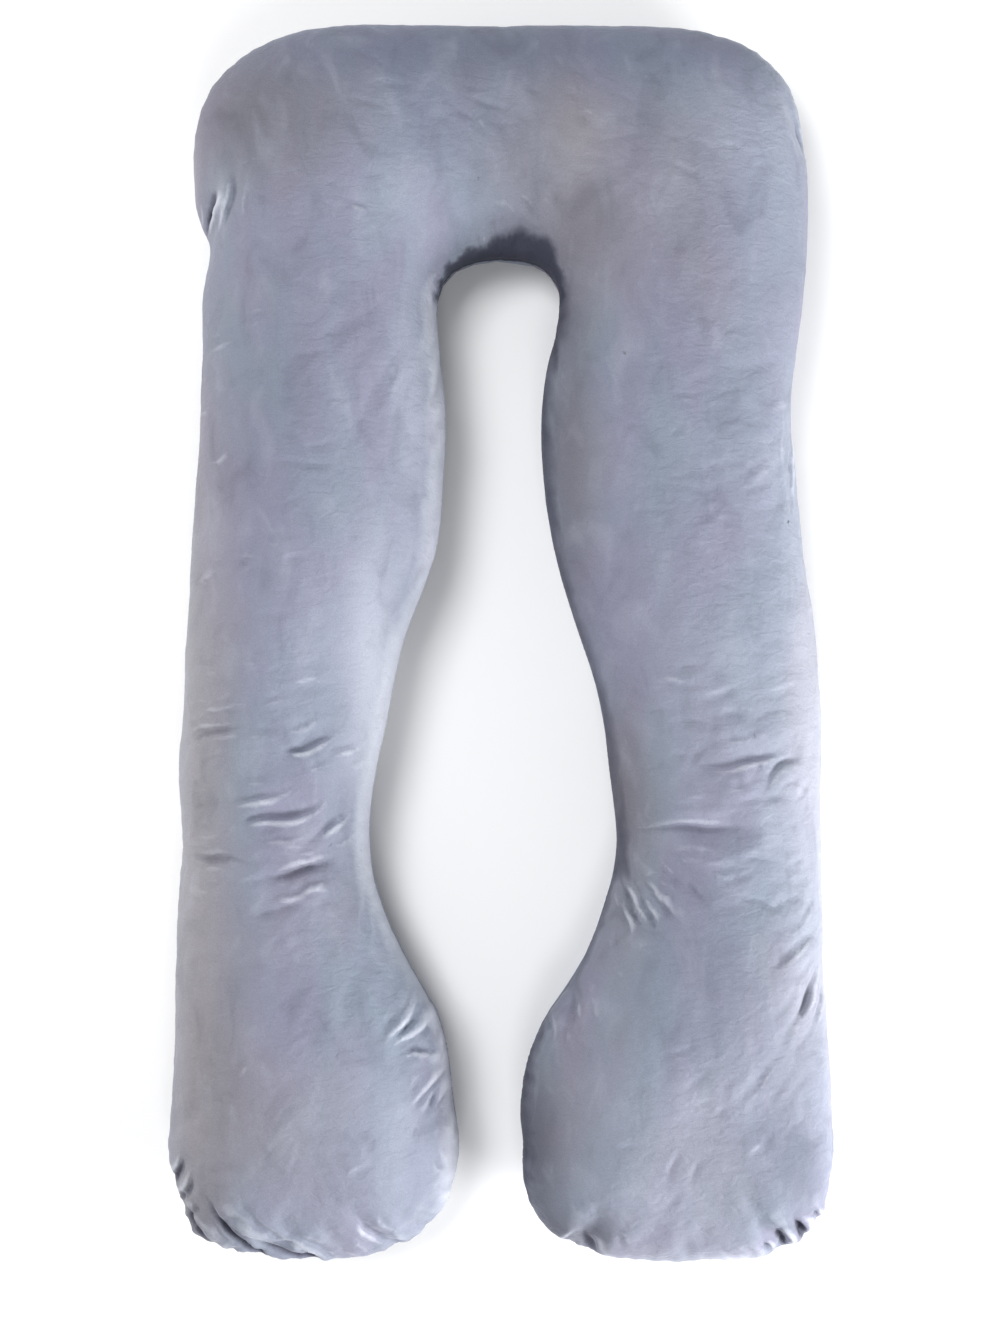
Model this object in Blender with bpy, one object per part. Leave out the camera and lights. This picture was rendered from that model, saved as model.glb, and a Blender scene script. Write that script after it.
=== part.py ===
"""U-shaped body pillow in velvet: one filled cushion, lying on its back.

X runs across the pillow, Y along it towards the head and Z up, in metres. The origin is at the middle of
the plan, on the surface that the pillow lies on.

The cushion is a loft. Its sections cross the left leg, turn round the arch in the head and cross the right
leg, and at each foot the ribs fan round the end of the leg. Every rib runs from the perimeter seam, up over
the crown and down under the belly, to the spine in the middle of the section.
"""

import math
from collections import namedtuple

import bmesh
import bpy
import numpy as np

NAME = "pillow"
COLLECTION = "body_pillow"

# Driving sizes of the whole pillow
WIDTH = 0.780
LENGTH = 1.450

# Filling: how the cloth bulges above and below the perimeter seam
SEAM_SHARE = 0.44        # height of the seam, as a share of the height of its section
ROUNDNESS = 2.3          # 2 is an ellipse, more is squarer at the sides
FLAT_SHARE = 0.50        # the belly lies flat from this share of the way from the seam to the spine
SEAM_DRAW = 0.003        # how far the seam draws the side of the cushion in

# Mesh
LEG_STEPS = 3            # stations between two rows of a leg's table
HEAD_STEPS = 2
FOOT_STEPS = 3
TOP_RINGS = 10
BOTTOM_RINGS = 4
MERGE = 1e-6

# Uneven filling
LUMP_HEIGHT = 0.003
LUMP_LENGTH = 0.21

# Velvet
VELVET = (0.285, 0.315, 0.420, 1.0)
VELVET_ROUGHNESS = 0.85

Leg = namedtuple("Leg", "y outer_x inner_x height")
Head = namedtuple("Head", "outer_x outer_y inner_x inner_y height")
Edge = namedtuple("Edge", "x y")
Fold = namedtuple("Fold", "x0 y0 x1 y1 bow depth half_width")

# Left leg, from the foot up to the shoulder
LEFT_LEG = [
    Leg(-0.552, -0.388, -0.052, 0.178),
    Leg(-0.493, -0.384, -0.058, 0.182),
    Leg(-0.446, -0.382, -0.068, 0.182),
    Leg(-0.404, -0.382, -0.092, 0.178),
    Leg(-0.363, -0.381, -0.115, 0.172),
    Leg(-0.322, -0.380, -0.134, 0.168),
    Leg(-0.281, -0.378, -0.147, 0.164),
    Leg(-0.239, -0.375, -0.152, 0.162),
    Leg(-0.192, -0.377, -0.151, 0.162),
    Leg(-0.145, -0.379, -0.144, 0.164),
    Leg(-0.092, -0.374, -0.132, 0.168),
    Leg(-0.040, -0.372, -0.122, 0.171),
    Leg(0.010, -0.369, -0.109, 0.174),
    Leg(0.060, -0.365, -0.089, 0.177),
    Leg(0.108, -0.363, -0.073, 0.180),
    Leg(0.179, -0.358, -0.066, 0.182),
    Leg(0.262, -0.352, -0.063, 0.184),
    Leg(0.344, -0.350, -0.070, 0.186),
    Leg(0.403, -0.350, -0.071, 0.186),
]

# Head, from the left shoulder over the arch to the right shoulder
HEAD = [
    Head(-0.342, 0.456, -0.061, 0.426, 0.184),
    Head(-0.353, 0.482, -0.056, 0.431, 0.184),
    Head(-0.359, 0.530, -0.051, 0.434, 0.184),
    Head(-0.358, 0.590, -0.046, 0.437, 0.184),
    Head(-0.340, 0.646, -0.040, 0.440, 0.182),
    Head(-0.298, 0.685, -0.034, 0.442, 0.180),
    Head(-0.232, 0.712, -0.027, 0.444, 0.176),
    Head(-0.160, 0.721, -0.019, 0.446, 0.170),
    Head(0.000, 0.720, 0.000, 0.448, 0.158),
    Head(0.046, 0.722, 0.009, 0.448, 0.157),
    Head(0.175, 0.719, 0.027, 0.445, 0.168),
    Head(0.240, 0.710, 0.036, 0.442, 0.174),
    Head(0.300, 0.687, 0.044, 0.438, 0.180),
    Head(0.338, 0.647, 0.050, 0.433, 0.184),
    Head(0.355, 0.585, 0.055, 0.428, 0.186),
    Head(0.359, 0.520, 0.060, 0.422, 0.187),
    Head(0.359, 0.460, 0.065, 0.412, 0.187),
]

# Right leg, from the shoulder down to the foot
RIGHT_LEG = [
    Leg(0.395, 0.354, 0.066, 0.187),
    Leg(0.350, 0.348, 0.060, 0.186),
    Leg(0.309, 0.343, 0.050, 0.185),
    Leg(0.262, 0.342, 0.045, 0.184),
    Leg(0.203, 0.347, 0.046, 0.182),
    Leg(0.144, 0.351, 0.053, 0.180),
    Leg(0.085, 0.357, 0.065, 0.176),
    Leg(0.026, 0.368, 0.083, 0.174),
    Leg(-0.033, 0.373, 0.103, 0.170),
    Leg(-0.092, 0.376, 0.118, 0.168),
    Leg(-0.145, 0.376, 0.124, 0.165),
    Leg(-0.192, 0.376, 0.130, 0.163),
    Leg(-0.239, 0.377, 0.134, 0.162),
    Leg(-0.281, 0.377, 0.127, 0.164),
    Leg(-0.322, 0.378, 0.115, 0.170),
    Leg(-0.363, 0.378, 0.100, 0.176),
    Leg(-0.404, 0.379, 0.076, 0.182),
    Leg(-0.446, 0.382, 0.047, 0.186),
    Leg(-0.493, 0.386, 0.028, 0.187),
    Leg(-0.552, 0.388, 0.020, 0.184),
]

# Seam round the end of the left foot, from its inner side to its outer side
LEFT_FOOT = [
    Edge(-0.046, -0.587),
    Edge(-0.050, -0.618),
    Edge(-0.062, -0.655),
    Edge(-0.085, -0.686),
    Edge(-0.120, -0.708),
    Edge(-0.166, -0.720),
    Edge(-0.225, -0.724),
    Edge(-0.285, -0.720),
    Edge(-0.330, -0.705),
    Edge(-0.362, -0.684),
    Edge(-0.378, -0.655),
    Edge(-0.386, -0.622),
    Edge(-0.390, -0.587),
]

# Seam round the end of the right foot, from its outer side to its inner side
RIGHT_FOOT = [
    Edge(0.390, -0.587),
    Edge(0.387, -0.622),
    Edge(0.378, -0.660),
    Edge(0.362, -0.691),
    Edge(0.332, -0.709),
    Edge(0.290, -0.719),
    Edge(0.235, -0.723),
    Edge(0.180, -0.725),
    Edge(0.130, -0.719),
    Edge(0.085, -0.706),
    Edge(0.051, -0.685),
    Edge(0.031, -0.655),
    Edge(0.023, -0.622),
    Edge(0.024, -0.587),
]

# Main folds of the cloth, each a trough between two low ridges. A fold runs from (x0, y0) to (x1, y1),
# and its middle lies the bow to the left of that line.
FOLDS = [
    # tucks at the left shoulder
    Fold(-0.336, 0.526, -0.347, 0.444, 0.002, 0.013, 0.012),
    Fold(-0.300, 0.548, -0.320, 0.462, 0.002, 0.009, 0.013),
    # crease at the right shoulder, and the long tuck down the right side
    Fold(0.330, 0.624, 0.353, 0.550, 0.003, 0.008, 0.012),
    Fold(0.334, 0.320, 0.334, 0.125, 0.004, 0.007, 0.011),
    # valley down the middle of the head, and the brow over the arch
    Fold(0.034, 0.700, 0.040, 0.480, 0.000, 0.002, 0.034),
    Fold(-0.066, 0.440, 0.064, 0.440, 0.034, 0.009, 0.013),
    # left leg, outer side
    Fold(-0.372, -0.124, -0.285, -0.094, 0.004, 0.007, 0.013),
    Fold(-0.366, -0.252, -0.292, -0.253, 0.000, 0.007, 0.013),
    Fold(-0.366, -0.190, -0.300, -0.186, 0.000, 0.004, 0.013),
    # left leg, middle
    Fold(-0.250, -0.123, -0.186, -0.105, -0.003, 0.009, 0.012),
    Fold(-0.300, -0.202, -0.200, -0.188, -0.003, 0.009, 0.013),
    Fold(-0.226, -0.226, -0.172, -0.200, -0.003, 0.007, 0.012),
    Fold(-0.268, -0.268, -0.180, -0.244, -0.004, 0.010, 0.013),
    Fold(-0.276, -0.312, -0.216, -0.296, -0.002, 0.005, 0.013),
    # left foot, inner side
    Fold(-0.056, -0.440, -0.130, -0.474, 0.006, 0.010, 0.012),
    Fold(-0.052, -0.476, -0.112, -0.508, 0.006, 0.009, 0.012),
    Fold(-0.052, -0.506, -0.098, -0.556, 0.007, 0.009, 0.012),
    # left foot, round the outer corner
    Fold(-0.385, -0.612, -0.370, -0.694, 0.004, 0.009, 0.012),
    Fold(-0.352, -0.626, -0.264, -0.724, -0.014, 0.016, 0.014),
    Fold(-0.320, -0.660, -0.216, -0.720, -0.008, 0.013, 0.013),
    # left foot, round the inner corner
    Fold(-0.164, -0.656, -0.104, -0.714, -0.005, 0.009, 0.012),
    Fold(-0.120, -0.660, -0.066, -0.686, -0.003, 0.008, 0.012),
    # right leg, across
    Fold(0.205, -0.145, 0.340, -0.114, -0.006, 0.008, 0.013),
    Fold(0.128, -0.225, 0.292, -0.216, 0.004, 0.007, 0.014),
    Fold(0.356, -0.120, 0.284, -0.184, -0.012, 0.007, 0.013),
    Fold(0.150, -0.080, 0.300, -0.088, 0.004, 0.004, 0.014),
    # right leg, the fan below its waist
    Fold(0.122, -0.256, 0.170, -0.344, 0.003, 0.011, 0.012),
    Fold(0.150, -0.262, 0.194, -0.346, 0.003, 0.009, 0.012),
    Fold(0.164, -0.240, 0.250, -0.306, 0.003, 0.007, 0.013),
    Fold(0.120, -0.292, 0.138, -0.374, 0.002, 0.008, 0.012),
    # right foot
    Fold(0.068, -0.384, 0.094, -0.452, 0.003, 0.008, 0.012),
    Fold(0.116, -0.650, 0.080, -0.716, 0.004, 0.009, 0.013),
    Fold(0.290, -0.662, 0.340, -0.720, 0.003, 0.011, 0.013),
    Fold(0.326, -0.644, 0.372, -0.704, 0.003, 0.011, 0.012),
    Fold(0.378, -0.350, 0.334, -0.430, 0.004, 0.005, 0.014),
]
RIDGE_SHARE = 0.35       # height of a fold's ridges, as a share of its depth
SIDE_LIMIT = -0.1        # folds mark only the faces that look this far up or more


def remove_scene_objects():
    for item in list(bpy.data.objects):
        bpy.data.objects.remove(item, do_unlink=True)


def smooth_loop(rows, steps):
    """Points of a smooth closed curve through the rows. steps gives the stations from each row to the next."""
    points = np.array(rows)
    after = np.roll(points, -1, axis=0)
    chord = np.linalg.norm((after - points)[:, :2], axis=1)[:, None]
    slope = (after - points) / chord
    slope_before = np.roll(slope, 1, axis=0)
    chord_before = np.roll(chord, 1, axis=0)
    tangent = (slope * chord_before + slope_before * chord) / (chord + chord_before)
    tangent_after = np.roll(tangent, -1, axis=0)
    samples = []
    for row, count in enumerate(steps):
        for step in range(count):
            t = step / count
            samples.append(
                (2 * t**3 - 3 * t**2 + 1) * points[row]
                + (t**3 - 2 * t**2 + t) * chord[row] * tangent[row]
                + (3 * t**2 - 2 * t**3) * after[row]
                + (t**3 - t**2) * chord[row] * tangent_after[row]
            )
    return np.array(samples)


def plan_loop():
    """The seam as a closed loop of (x, y, height of the section), and the matching loop of the spine."""
    outer = [(row.outer_x, row.y, row.height) for row in LEFT_LEG]
    outer += [(row.outer_x, row.outer_y, row.height) for row in HEAD]
    outer += [(row.outer_x, row.y, row.height) for row in RIGHT_LEG]
    inner = [(row.inner_x, row.y, row.height) for row in LEFT_LEG]
    inner += [(row.inner_x, row.inner_y, row.height) for row in HEAD]
    inner += [(row.inner_x, row.y, row.height) for row in RIGHT_LEG]
    right_foot = [(row.x, row.y, RIGHT_LEG[-1].height) for row in RIGHT_FOOT]
    left_foot = [(row.x, row.y, LEFT_LEG[0].height) for row in LEFT_FOOT]

    side_steps = [LEG_STEPS] * (len(LEFT_LEG) - 1) + [HEAD_STEPS] * (len(HEAD) + 1)
    side_steps += [LEG_STEPS] * (len(RIGHT_LEG) - 1)
    foot_steps = [FOOT_STEPS] * (len(right_foot) + 1)
    steps = side_steps + foot_steps + side_steps[::-1] + [FOOT_STEPS] * (len(left_foot) + 1)
    seam = smooth_loop(outer + right_foot + inner[::-1] + left_foot, steps)
    stations = sum(side_steps) + 1
    inner_start = sum(side_steps) + sum(foot_steps)
    outer_side = seam[:stations]
    inner_side = seam[inner_start:inner_start + stations]
    middle = (outer_side + inner_side[::-1]) / 2

    spine = np.empty_like(seam)
    spine[:stations] = middle
    spine[stations:inner_start] = middle[-1]
    spine[inner_start:inner_start + stations] = middle[::-1]
    spine[inner_start + stations:] = middle[0]
    return seam, spine


def rib_positions(rings):
    """Share of the way in from the seam, and share of the rise, at each ring of a rib."""
    angles = [math.pi / 2 * ring / rings for ring in range(rings + 1)]
    way_in = [1 - max(math.cos(angle), 0) ** (2 / ROUNDNESS) for angle in angles]
    rise = [math.sin(angle) ** (2 / ROUNDNESS) for angle in angles]
    return way_in, rise


def cushion_rings(seam, spine):
    """Rings of points from the spine on top, out to the seam and back in to the spine underneath."""
    seam_height = SEAM_SHARE * seam[:, 2]
    crown = spine[:, 2] - seam_height
    rings = []

    across = (spine - seam)[:, :2]
    drawn_in = seam[:, :2] + SEAM_DRAW * across / np.linalg.norm(across, axis=1)[:, None]

    def add_ring(share_in, height):
        plan = seam[:, :2] + share_in * across if share_in > 0 else drawn_in
        rings.append(np.column_stack([plan, height]))

    way_in, rise = rib_positions(TOP_RINGS)
    for share_in, share_up in reversed(list(zip(way_in, rise))):
        add_ring(share_in, seam_height + share_up * crown)
    way_in, rise = rib_positions(BOTTOM_RINGS)
    for share_in, share_down in list(zip(way_in, rise))[1:]:
        add_ring(FLAT_SHARE * share_in, seam_height * (1 - share_down))
    add_ring(1.0, np.zeros(len(seam)))
    return rings


def lumps(x, y):
    """Soft unevenness of the filling, from -1 to 1."""
    turn = 2 * math.pi / LUMP_LENGTH
    first = math.sin(turn * x + 1.7 * math.sin(turn * 0.7 * y))
    second = math.sin(turn * 0.9 * y + 1.3 * math.sin(turn * 0.8 * x + 2.0))
    return (first + second) / 2


def fold_push(fold, x, y):
    """How far a fold moves the cloth at (x, y) along its normal: into the trough, or out on a ridge."""
    length = math.hypot(fold.x1 - fold.x0, fold.y1 - fold.y0)
    along_x = (fold.x1 - fold.x0) / length
    along_y = (fold.y1 - fold.y0) / length
    share = ((x - fold.x0) * along_x + (y - fold.y0) * along_y) / length
    if not 0 < share < 1:
        return 0.0
    aside = (y - fold.y0) * along_x - (x - fold.x0) * along_y - 4 * fold.bow * share * (1 - share)
    trough = math.exp(-(aside / fold.half_width) ** 2)
    ridge = math.exp(-((abs(aside) - 2 * fold.half_width) / fold.half_width) ** 2)
    return -fold.depth * math.sin(math.pi * share) ** 0.6 * (trough - RIDGE_SHARE * ridge)


def mark_cloth(bm):
    """Push the cloth of the upper side in and out at its lumps and folds."""
    bm.normal_update()
    moves = []
    for vert in bm.verts:
        facing = min(max((vert.normal.z - SIDE_LIMIT) / (1 - SIDE_LIMIT), 0), 1)
        if facing == 0:
            continue
        x, y = vert.co.x, vert.co.y
        push = LUMP_HEIGHT * facing * lumps(x, y)
        push += min(2 * facing, 1) * sum(fold_push(fold, x, y) for fold in FOLDS)
        moves.append((vert, vert.normal * push))
    for vert, move in moves:
        vert.co += move


def fit_to_size(bm):
    """Bring the plan to the driving width and length, centred on the origin."""
    for axis, size in ((0, WIDTH), (1, LENGTH)):
        low = min(vert.co[axis] for vert in bm.verts)
        high = max(vert.co[axis] for vert in bm.verts)
        for vert in bm.verts:
            vert.co[axis] = (vert.co[axis] - (low + high) / 2) * size / (high - low)


def velvet():
    material = bpy.data.materials.new("velvet")
    material.use_nodes = True
    shader = material.node_tree.nodes["Principled BSDF"]
    shader.inputs["Base Color"].default_value = VELVET
    shader.inputs["Roughness"].default_value = VELVET_ROUGHNESS
    shader.inputs["Metallic"].default_value = 0.0
    return material


def make_pillow():
    seam, spine = plan_loop()
    bm = bmesh.new()
    rings = []
    for ring in cushion_rings(seam, spine):
        rings.append([bm.verts.new(point) for point in ring])
    for ring, next_ring in zip(rings, rings[1:]):
        for index in range(len(ring)):
            after = (index + 1) % len(ring)
            bm.faces.new((ring[index], next_ring[index], next_ring[after], ring[after]))
    bmesh.ops.remove_doubles(bm, verts=bm.verts, dist=MERGE)
    bmesh.ops.recalc_face_normals(bm, faces=bm.faces)
    mark_cloth(bm)
    fit_to_size(bm)

    mesh = bpy.data.meshes.new(NAME)
    bm.to_mesh(mesh)
    bm.free()
    mesh.shade_smooth()
    mesh.materials.append(velvet())
    pillow = bpy.data.objects.new(NAME, mesh)
    collection = bpy.data.collections.new(COLLECTION)
    bpy.context.scene.collection.children.link(collection)
    collection.objects.link(pillow)
    return pillow


remove_scene_objects()
make_pillow()
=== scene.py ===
# %% [markdown]
# # A U-shaped pregnancy pillow in grey-blue velvet
# The real pillow is one long bag of velvet, sewn from two like panels and stuffed, so this lesson makes
# one soft piece and takes trouble over its cloth. The frame is the solid that was built first: it gives
# the size, the place and the broad form, and everything here is fitted to it.

# %% Load the frame
import math
from collections import namedtuple

import bmesh
import bpy
import numpy as np
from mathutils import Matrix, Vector, kdtree


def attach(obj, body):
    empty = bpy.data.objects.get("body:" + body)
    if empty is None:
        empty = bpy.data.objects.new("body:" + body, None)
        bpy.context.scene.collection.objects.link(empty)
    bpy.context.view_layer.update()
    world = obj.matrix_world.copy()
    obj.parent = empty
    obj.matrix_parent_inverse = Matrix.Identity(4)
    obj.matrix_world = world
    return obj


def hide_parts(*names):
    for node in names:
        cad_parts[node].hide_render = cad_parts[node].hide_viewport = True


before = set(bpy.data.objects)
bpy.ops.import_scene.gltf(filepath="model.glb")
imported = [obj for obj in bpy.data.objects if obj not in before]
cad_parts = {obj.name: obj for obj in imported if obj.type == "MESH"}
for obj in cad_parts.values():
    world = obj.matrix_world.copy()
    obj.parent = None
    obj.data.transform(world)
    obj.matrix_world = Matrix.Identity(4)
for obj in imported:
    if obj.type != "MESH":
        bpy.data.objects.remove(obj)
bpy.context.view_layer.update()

CM = 0.01

# %% [markdown]
# ## Camera
# The pillow is seen from straight above. A camera that hangs not very far over it also sees a little of
# the inner walls, such as the dark wall under the arch, which a distant camera would lose. The frame of
# the picture is 1000 by 1333, and its long side spans the height that the lens takes in.

# %% Camera
PICTURE_HEIGHT = 1.572     # metres of the seam's plane that the picture takes in, from top to bottom
VIEW_HEIGHT = 2.25         # camera above the seam's plane
SEAM_PLANE = 0.08
VIEW_CENTRE = (-0.001, -0.029)
SENSOR = 36.0

camera_data = bpy.data.cameras.new("overhead")
camera_data.sensor_fit = "AUTO"
camera_data.sensor_width = SENSOR
camera_data.lens = SENSOR * VIEW_HEIGHT / PICTURE_HEIGHT
camera = bpy.data.objects.new("overhead", camera_data)
camera.location = (*VIEW_CENTRE, SEAM_PLANE + VIEW_HEIGHT)
bpy.context.scene.collection.objects.link(camera)
bpy.context.scene.camera = camera
print("lens", round(camera_data.lens, 1), "mm")

# %% [markdown]
# ## Light and floor
# A velvet cushion is shaped by soft light from one side. The key is a large panel low on the right,
# beyond the feet, so that each leg and each fold goes from bright on its right to dark on its left. A
# panel high up on the other side lights the floor and lays a narrow shadow to the lower right. A third
# hangs over the feet, which are the brightest part. A weak warm panel low on the left lifts the outer
# edge there, and a pale sky fills the rest.

# %% Light
def panel(name, place, size, power, colour=(1.0, 1.0, 1.0)):
    """A square area light that looks at the middle of the pillow."""
    light = bpy.data.lights.new(name, "AREA")
    light.shape = "SQUARE"
    light.size = size
    light.energy = power
    light.color = colour
    lamp = bpy.data.objects.new(name, light)
    lamp.location = place
    aim = Vector((0, 0, SEAM_PLANE)) - Vector(place)
    lamp.rotation_mode = "QUATERNION"
    lamp.rotation_quaternion = aim.to_track_quat("-Z", "Y")
    bpy.context.scene.collection.objects.link(lamp)
    print(name, power, "W,", size, "m wide")


panel("key", place=(2.4, -1.7, 0.75), size=1.1, power=142.0, colour=(1.0, 0.99, 0.98))
panel("foot_light", place=(0.1, -1.4, 2.7), size=0.8, power=15.0)
panel("shadow_maker", place=(-1.35, 1.05, 3.9), size=1.7, power=118.0, colour=(0.98, 0.985, 1.0))
panel("edge_light", place=(-2.6, 0.3, 0.40), size=1.0, power=22.0, colour=(1.0, 0.90, 0.78))

studio = bpy.data.worlds.new("studio")
studio.use_nodes = True
sky = studio.node_tree.nodes["Background"]
sky.inputs["Color"].default_value = (0.95, 0.97, 1.0, 1.0)
sky.inputs["Strength"].default_value = 0.38
bpy.context.scene.world = studio
bpy.context.scene.view_settings.view_transform = "Standard"

# %% Floor
FLOOR_SIZE = 12.0
FLOOR_GAP = 0.0005

bpy.ops.mesh.primitive_plane_add(size=FLOOR_SIZE, location=(0, 0, -FLOOR_GAP))
floor = bpy.context.object
floor.name = "floor"
paper = bpy.data.materials.new("white_paper")
paper.use_nodes = True
paper_shader = paper.node_tree.nodes["Principled BSDF"]
paper_shader.inputs["Base Color"].default_value = (0.90, 0.90, 0.895, 1.0)
paper_shader.inputs["Roughness"].default_value = 0.9
paper_shader.inputs["Specular IOR Level"].default_value = 0.1
floor.data.materials.append(paper)
print("floor", FLOOR_SIZE, "m wide and", FLOOR_GAP * 1000, "mm under the pillow")

# %% [markdown]
# ## Reading and moving a mesh as arrays
# A cover of many thousands of points is too many for slow loops. These helpers read the points,
# normals and edges of a mesh as arrays, so that each later step is a little arithmetic on all the
# points at once.

# %% Array helpers
def rows_of(elements, name, width, kind):
    """One property of all the points or edges of a mesh, as an array with a row for each."""
    values = np.empty(len(elements) * width, kind)
    elements.foreach_get(name, values)
    return values.reshape(-1, width)


def points_of(mesh):
    return rows_of(mesh.vertices, "co", 3, float)


def normals_of(mesh):
    return rows_of(mesh.vertices, "normal", 3, float)


def edges_of(mesh):
    return rows_of(mesh.edges, "vertices", 2, np.int32)


def triangles_in(mesh):
    return sum(len(face.vertices) - 2 for face in mesh.polygons)


def put_points(mesh, points):
    mesh.vertices.foreach_set("co", points.ravel())
    mesh.update()


def smoothed(values, edges, rounds):
    """Each value drawn towards the mean of its neighbours, again and again."""
    count = np.bincount(edges.ravel(), minlength=len(values))
    for _ in range(rounds):
        mean = np.empty_like(values)
        for column in range(values.shape[1]):
            total = np.bincount(edges[:, 0], values[edges[:, 1], column], len(values))
            total += np.bincount(edges[:, 1], values[edges[:, 0], column], len(values))
            mean[:, column] = total / count
        values = (values + mean) / 2
    return values


def ramp(values, start, end):
    """0 before start, 1 after end, and a smooth step between them."""
    share = np.clip((values - start) / (end - start), 0, 1)
    return share * share * (3 - 2 * share)


def clear_of_floor(points):
    """0 where the cover lies on the surface, 1 where it is well off it."""
    return ramp(points[:, 2], 0.002, 0.020)


def on_upper_panel(above):
    """0 on the lower panel and 1 on the upper one, from how far above the seam a point lies."""
    return ramp(above, -0.012, 0.010)


# %% [markdown]
# ## The cover as an even mesh
# The frame's solid has long triangles along its ribs, which a cloth simulation would crease along. A
# voxel remesh gives small quads of one size all over. A copy of the frame's mesh is welded first,
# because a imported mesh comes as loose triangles.

# %% Even mesh
VOXEL = 0.0066
WELD_WITHIN = 0.00005
EVEN_ROUNDS = 2            # how often the remesh's small steps are smoothed

cover = bpy.data.objects.new("pillow_cover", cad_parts["pillow"].data.copy())
bpy.context.scene.collection.objects.link(cover)
cover.data.materials.clear()
welded = bmesh.new()
welded.from_mesh(cover.data)
bmesh.ops.remove_doubles(welded, verts=welded.verts, dist=WELD_WITHIN)
welded.to_mesh(cover.data)
solid_points = np.array([vert.co[:] for vert in welded.verts])
solid_edges = np.array([[vert.index for vert in edge.verts] for edge in welded.edges])
welded.free()


def made_real(piece):
    """Replace a piece's mesh by what its modifiers make of it, and take the modifiers off."""
    graph = bpy.context.evaluated_depsgraph_get()
    mesh = bpy.data.meshes.new_from_object(piece.evaluated_get(graph))
    piece.modifiers.clear()
    piece.data = mesh


remesh = cover.modifiers.new("even", "REMESH")
remesh.mode = "VOXEL"
remesh.voxel_size = VOXEL
remesh.use_smooth_shade = True
made_real(cover)
put_points(cover.data, smoothed(points_of(cover.data), edges_of(cover.data), EVEN_ROUNDS))
print("even mesh", len(cover.data.vertices), "points")

# %% [markdown]
# ## The perimeter seam
# The two panels meet in one seam that runs right round the U at the middle of its thickness. On the
# frame it is the ring of points that is drawn in a little. Following that ring gives the seam's line,
# and for any point of the cover the nearest place on the seam, how far along it lies and how far away
# it is.

# %% Follow the seam
SEAM_LOW, SEAM_HIGH = 0.060, 0.0865
SEAM_STEP = 0.004

on_seam = (solid_points[:, 2] > SEAM_LOW) & (solid_points[:, 2] < SEAM_HIGH)
seam_links = {}
for start, end in solid_edges[on_seam[solid_edges].all(axis=1)]:
    seam_links.setdefault(int(start), []).append(int(end))
    seam_links.setdefault(int(end), []).append(int(start))

first = min(seam_links, key=lambda index: solid_points[index, 1])
walk = [first]
seen = {first}
while True:
    ahead = [index for index in seam_links[walk[-1]] if index not in seen]
    if not ahead:
        break
    walk.append(min(ahead, key=lambda index: np.linalg.norm(solid_points[index] - solid_points[walk[-1]])))
    seen.add(walk[-1])
seam_line = solid_points[walk + [first]]
stretch = np.concatenate([[0], np.cumsum(np.linalg.norm(np.diff(seam_line, axis=0), axis=1))])
SEAM_LENGTH = stretch[-1]
along = np.linspace(0, SEAM_LENGTH, int(SEAM_LENGTH / SEAM_STEP), endpoint=False)
seam_line = np.column_stack([np.interp(along, stretch, seam_line[:, axis]) for axis in range(3)])
print("seam", len(walk), "points of", int(on_seam.sum()), "and", round(SEAM_LENGTH, 3), "m long")

seam_tree = kdtree.KDTree(len(seam_line))
for index, point in enumerate(seam_line):
    seam_tree.insert(point, index)
seam_tree.balance()


def seam_place(points):
    """How far along the seam each point's nearest place lies, and how far away and above it is."""
    nearest = [seam_tree.find(point) for point in points]
    index = np.array([found[1] for found in nearest])
    away = np.array([found[2] for found in nearest])
    return along[index], away, points[:, 2] - seam_line[index, 2]


# %% [markdown]
# ## Folds listed one by one
# Each main crease of the cloth is one row: where it starts and ends in centimetres from the middle of
# the pillow, how far its middle bows to the left of that line, how deep and how wide it is in
# millimetres, and which side carries the higher ridge. A crease is a sharp trough between two round
# ridges, narrow at both its ends, and it wanders a little on its way, as cloth makes it.

# %% Folds
Fold = namedtuple("Fold", "x0 y0 x1 y1 bow depth half_width lean")

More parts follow.
